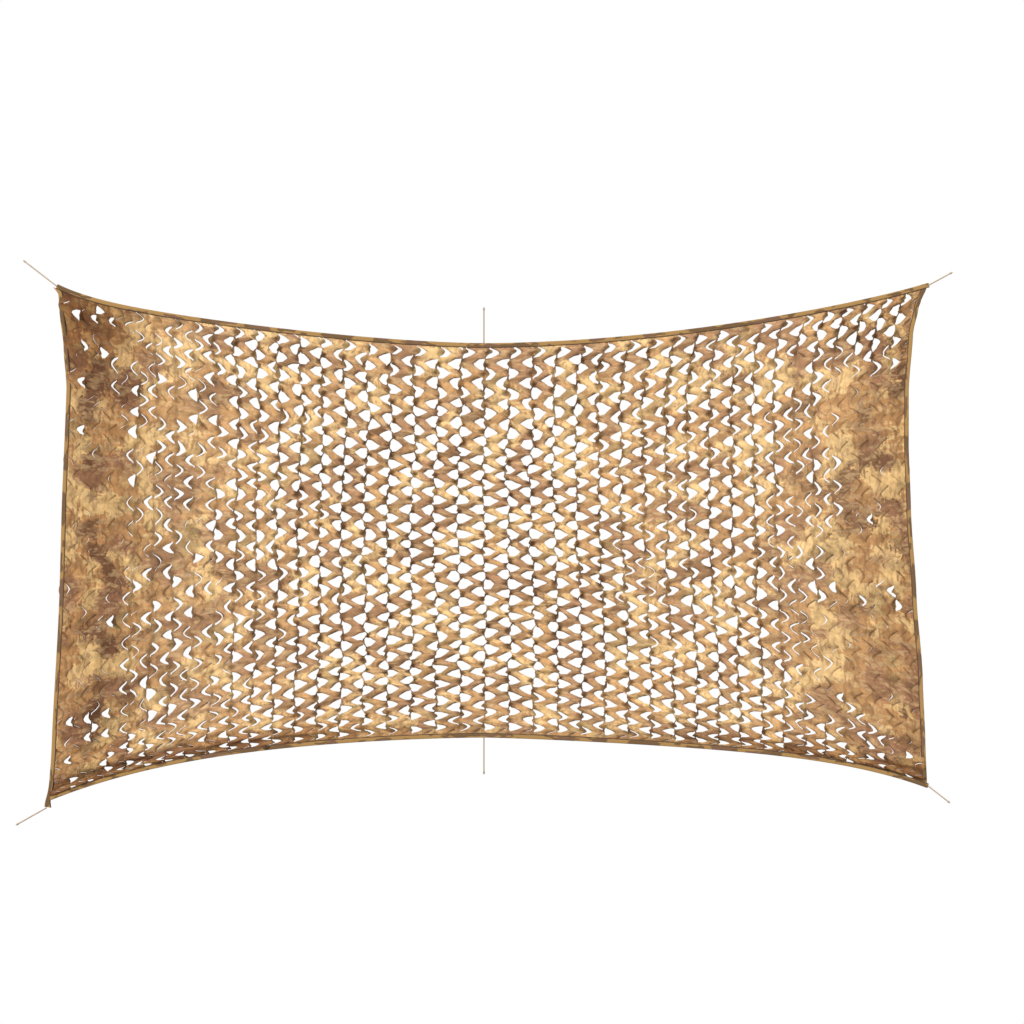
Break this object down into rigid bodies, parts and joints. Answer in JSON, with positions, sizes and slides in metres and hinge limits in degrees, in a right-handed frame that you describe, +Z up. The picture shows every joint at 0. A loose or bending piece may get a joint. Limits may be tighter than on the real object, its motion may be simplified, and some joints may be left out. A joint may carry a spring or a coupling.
{
  "type": "camouflage netting",
  "caption": "Rectangular camouflage net of slit cloth bound with folded tape, held taut and drawn in between its tie cords.",
  "frame": {"origin": "on the fold of the top tape, where the middle cord leaves it", "axes": "+X along the net to the right as seen from the front, +Y into the net from the front, +Z up"},
  "size_m": [5.429, 0.0718, 3.1426],
  "materials": {
    "camo_cloth": "matte printed cloth",
    "camo_tape": "matte printed tape",
    "tie_cord": "matte twisted cord"
  },
  "bodies": {
    "root": {"net": "camo_cloth", "binding_top": "camo_tape", "binding_bottom": "camo_tape", "binding_left": "camo_tape", "binding_right": "camo_tape", "tie_top_left": "tie_cord", "tie_top_middle": "tie_cord", "tie_top_right": "tie_cord", "tie_bottom_left": "tie_cord", "tie_bottom_middle": "tie_cord", "tie_bottom_right": "tie_cord"}
  },
  "joints": []
}
